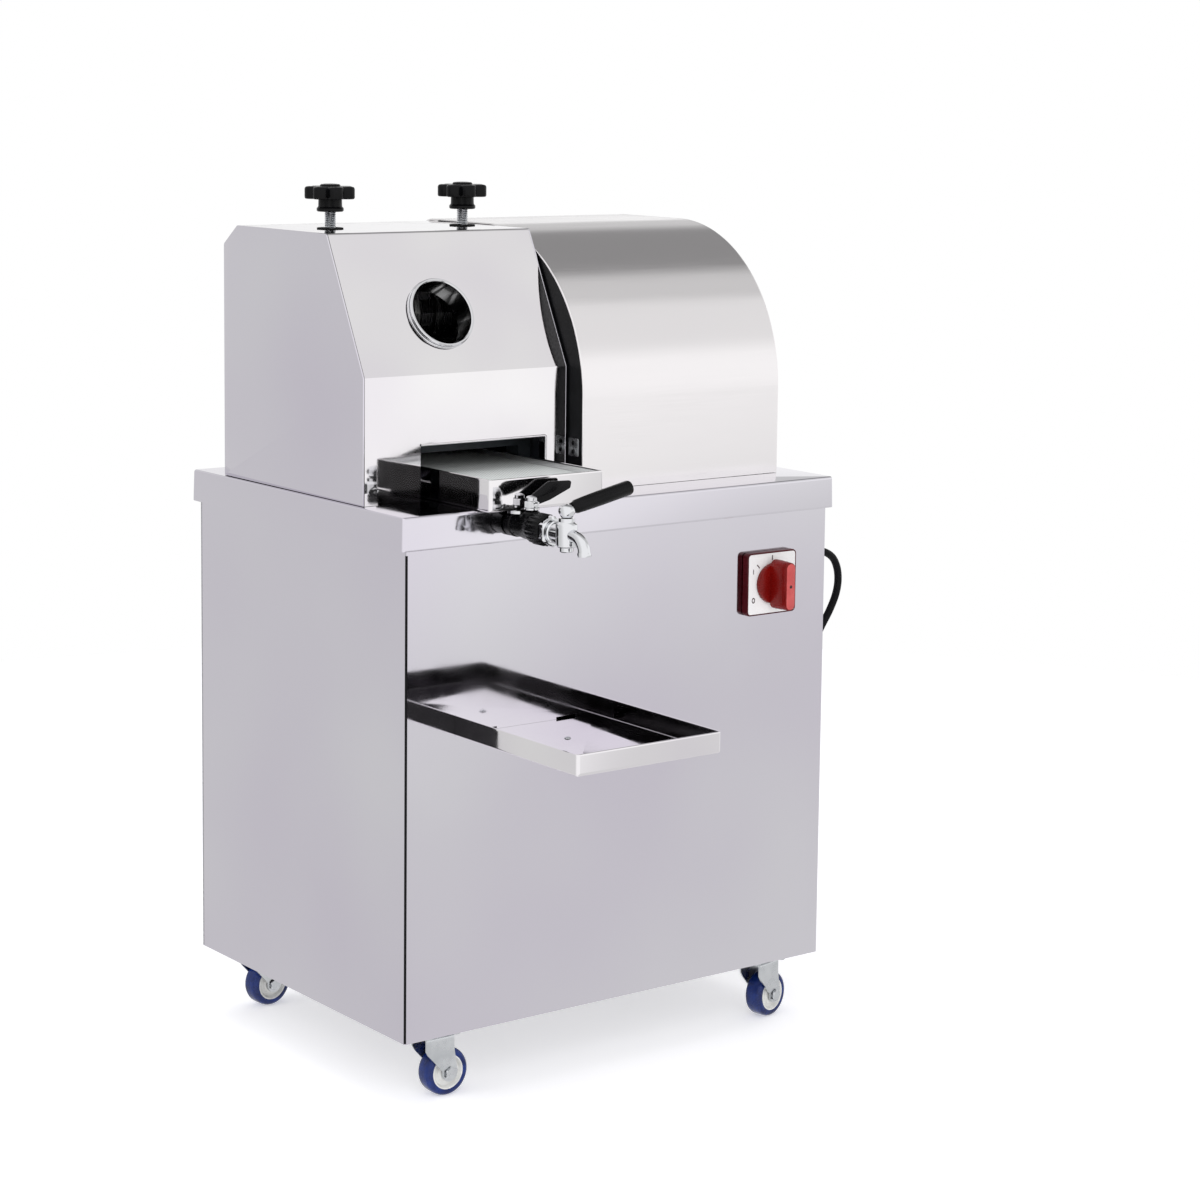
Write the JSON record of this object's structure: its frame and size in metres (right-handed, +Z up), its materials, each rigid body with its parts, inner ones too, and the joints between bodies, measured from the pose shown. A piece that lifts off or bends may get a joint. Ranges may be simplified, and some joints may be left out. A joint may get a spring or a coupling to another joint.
{
  "type": "electric sugarcane juicer",
  "caption": "Cabinet-type electric sugarcane juicer on castors: roller mill head with feed pipe and star knobs, arched belt-drive cover, juice drawer with tap, cup tray and rotary switch.",
  "frame": {"origin": "on the floor, under the middle of the cap's width, halfway from the cup tray's front to the cap's rear edge", "axes": "+Z up, -Y the front with the drawer, tap and cup tray, +X to the operator's right"},
  "size_m": [0.7284, 0.616, 0.92],
  "materials": {
    "polished_steel": "mirror polished stainless sheet",
    "brushed_steel": "brushed stainless sheet",
    "machined_steel": "turned and ground",
    "chrome": "polished",
    "cast_iron": "painted casting",
    "black_paint": "semi-gloss",
    "black_plastic": "moulded",
    "red_plastic": "moulded",
    "black_rubber": "matt",
    "zinc_plate": "zinc plated",
    "blue_polyurethane": "moulded polyurethane tread on a white nylon core"
  },
  "bodies": {
    "cabinet": {"top_cap": "polished_steel", "left_panel": "polished_steel", "right_panel": "polished_steel", "front_panel": "polished_steel", "back_panel": "brushed_steel", "base_plate": "brushed_steel", "cabinet_frame": "black_paint", "cup_tray": "polished_steel", "switch_housing": "red_plastic", "cord_gland": "black_rubber", "power_cord": "black_rubber", "cord_coil": "black_rubber", "mains_plug": "black_rubber", "castor_plate_front_left": "zinc_plate", "castor_plate_front_right": "zinc_plate", "castor_plate_rear_left": "zinc_plate", "castor_plate_rear_right": "zinc_plate", "head_shell": "polished_steel", "head_left_side": "polished_steel", "head_right_side": "polished_steel", "feed_collar": "chrome", "bagasse_hood": "polished_steel", "mill_bed": "cast_iron", "mill_plate_left": "cast_iron", "mill_plate_right": "cast_iron", "drive_stand": "cast_iron", "drive_belt": "black_rubber", "motor": "cast_iron", "motor_shelf": "brushed_steel", "drive_cover": "brushed_steel", "cover_left_end": "black_paint", "cover_right_end": "black_paint"},
    "switch_knob": {"switch_knob": "red_plastic"},
    "top_roller_carriage": {"bearing_block_left": "machined_steel", "bearing_block_right": "machined_steel"},
    "pressure_knob_left": {"pressure_knob_left": "black_plastic"},
    "pressure_knob_right": {"pressure_knob_right": "black_plastic"},
    "top_roller": {"top_roller": "machined_steel", "top_roller_gear": "machined_steel"},
    "front_roller": {"front_roller": "machined_steel", "front_roller_gear": "machined_steel"},
    "rear_roller": {"rear_roller": "machined_steel", "rear_roller_gear": "machined_steel", "bull_gear": "cast_iron"},
    "countershaft": {"countershaft": "machined_steel", "countershaft_pulley": "cast_iron"},
    "motor_pulley": {"motor_pulley": "cast_iron"},
    "juice_drawer": {"juice_drawer": "polished_steel", "outlet_valve": "black_plastic", "tap_body": "chrome"},
    "valve_lever": {"valve_lever": "cast_iron"},
    "tap_handle": {"tap_handle": "black_plastic"},
    "castor_fork_front_left": {"castor_fork_front_left": "zinc_plate"},
    "castor_wheel_front_left": {"castor_wheel_front_left": "blue_polyurethane"},
    "castor_fork_front_right": {"castor_fork_front_right": "zinc_plate"},
    "castor_wheel_front_right": {"castor_wheel_front_right": "blue_polyurethane"},
    "castor_fork_rear_left": {"castor_fork_rear_left": "zinc_plate"},
    "castor_wheel_rear_left": {"castor_wheel_rear_left": "blue_polyurethane"},
    "castor_fork_rear_right": {"castor_fork_rear_right": "zinc_plate"},
    "castor_wheel_rear_right": {"castor_wheel_rear_right": "blue_polyurethane"}
  },
  "joints": [
    {"name": "switch_turn", "type": "hinge", "parent": "cabinet", "child": "switch_knob", "pos_m": [0.1895, -0.1135, 0.4965], "axis": [0, 1, 0], "range_deg": [-45, 45]},
    {"name": "mill_opening", "type": "slide", "parent": "cabinet", "child": "top_roller_carriage", "axis": [0, 0, 1], "range_m": [0, 0.00175]},
    {"name": "pressure_screw_left", "type": "hinge", "parent": "top_roller_carriage", "child": "pressure_knob_left", "pos_m": [-0.2205, 0.12, 0.9], "axis": [0, 0, 1], "range_deg": [0, 360]},
    {"name": "pressure_screw_right", "type": "hinge", "parent": "top_roller_carriage", "child": "pressure_knob_right", "pos_m": [-0.0555, 0.12, 0.9], "axis": [0, 0, 1], "range_deg": [0, 360]},
    {"name": "rear_roller_spin", "type": "hinge", "parent": "cabinet", "child": "rear_roller", "pos_m": [-0.138, 0.164, 0.72253], "axis": [1, 0, 0], "continuous": true},
    {"name": "front_roller_spin", "type": "hinge", "parent": "cabinet", "child": "front_roller", "pos_m": [-0.138, 0.076, 0.72253], "axis": [1, 0, 0], "continuous": true},
    {"name": "top_roller_spin", "type": "hinge", "parent": "top_roller_carriage", "child": "top_roller", "pos_m": [-0.138, 0.12, 0.7845], "axis": [1, 0, 0], "continuous": true},
    {"name": "countershaft_spin", "type": "hinge", "parent": "cabinet", "child": "countershaft", "pos_m": [0.105, 0.059, 0.75853], "axis": [1, 0, 0], "continuous": true},
    {"name": "motor_spin", "type": "hinge", "parent": "cabinet", "child": "motor_pulley", "pos_m": [0.105, 0.059, 0.4525], "axis": [1, 0, 0], "continuous": true},
    {"name": "drawer_slide", "type": "slide", "parent": "cabinet", "child": "juice_drawer", "axis": [0, -1, 0], "range_m": [0, 0.22]},
    {"name": "valve_lever_turn", "type": "hinge", "parent": "juice_drawer", "child": "valve_lever", "pos_m": [-0.1485, -0.141, 0.61], "axis": [0, 0, 1], "range_deg": [-90, 0]},
    {"name": "tap_handle_turn", "type": "hinge", "parent": "juice_drawer", "child": "tap_handle", "pos_m": [-0.1485, -0.2, 0.61], "axis": [0, 0, 1], "range_deg": [-90, 0]},
    {"name": "castor_swivel_front_left", "type": "hinge", "parent": "cabinet", "child": "castor_fork_front_left", "pos_m": [-0.2165, -0.072, 0.065], "axis": [0, 0, 1], "continuous": true},
    {"name": "castor_roll_front_left", "type": "hinge", "parent": "castor_fork_front_left", "child": "castor_wheel_front_left", "pos_m": [-0.2045, -0.072, 0.025], "axis": [0, 1, 0], "continuous": true},
    {"name": "castor_swivel_front_right", "type": "hinge", "parent": "cabinet", "child": "castor_fork_front_right", "pos_m": [0.2165, -0.072, 0.065], "axis": [0, 0, 1], "continuous": true},
    {"name": "castor_roll_front_right", "type": "hinge", "parent": "castor_fork_front_right", "child": "castor_wheel_front_right", "pos_m": [0.22819, -0.0693, 0.025], "axis": [-0.225, 0.9744, 0], "continuous": true},
    {"name": "castor_swivel_rear_left", "type": "hinge", "parent": "cabinet", "child": "castor_fork_rear_left", "pos_m": [-0.2165, 0.278, 0.065], "axis": [0, 0, 1], "continuous": true},
    {"name": "castor_roll_rear_left", "type": "hinge", "parent": "castor_fork_rear_left", "child": "castor_wheel_rear_left", "pos_m": [-0.20457, 0.27925, 0.025], "axis": [-0.1045, 0.9945, 0], "continuous": true},
    {"name": "castor_swivel_rear_right", "type": "hinge", "parent": "cabinet", "child": "castor_fork_rear_right", "pos_m": [0.2165, 0.278, 0.065], "axis": [0, 0, 1], "continuous": true},
    {"name": "castor_roll_rear_right", "type": "hinge", "parent": "castor_fork_rear_right", "child": "castor_wheel_rear_right", "pos_m": [0.22763, 0.28249, 0.025], "axis": [-0.3746, 0.9272, 0], "continuous": true}
  ],
  "couplings": [
    {"joint": "pressure_screw_left", "follows": "mill_opening", "rad_per_m": 3590.4},
    {"joint": "pressure_screw_right", "follows": "mill_opening", "rad_per_m": 3590.4},
    {"joint": "front_roller_spin", "follows": "rear_roller_spin", "ratio": 1},
    {"joint": "top_roller_spin", "follows": "rear_roller_spin", "ratio": -1},
    {"joint": "countershaft_spin", "follows": "rear_roller_spin", "ratio": -3.3529},
    {"joint": "motor_spin", "follows": "rear_roller_spin", "ratio": -9.979}
  ]
}
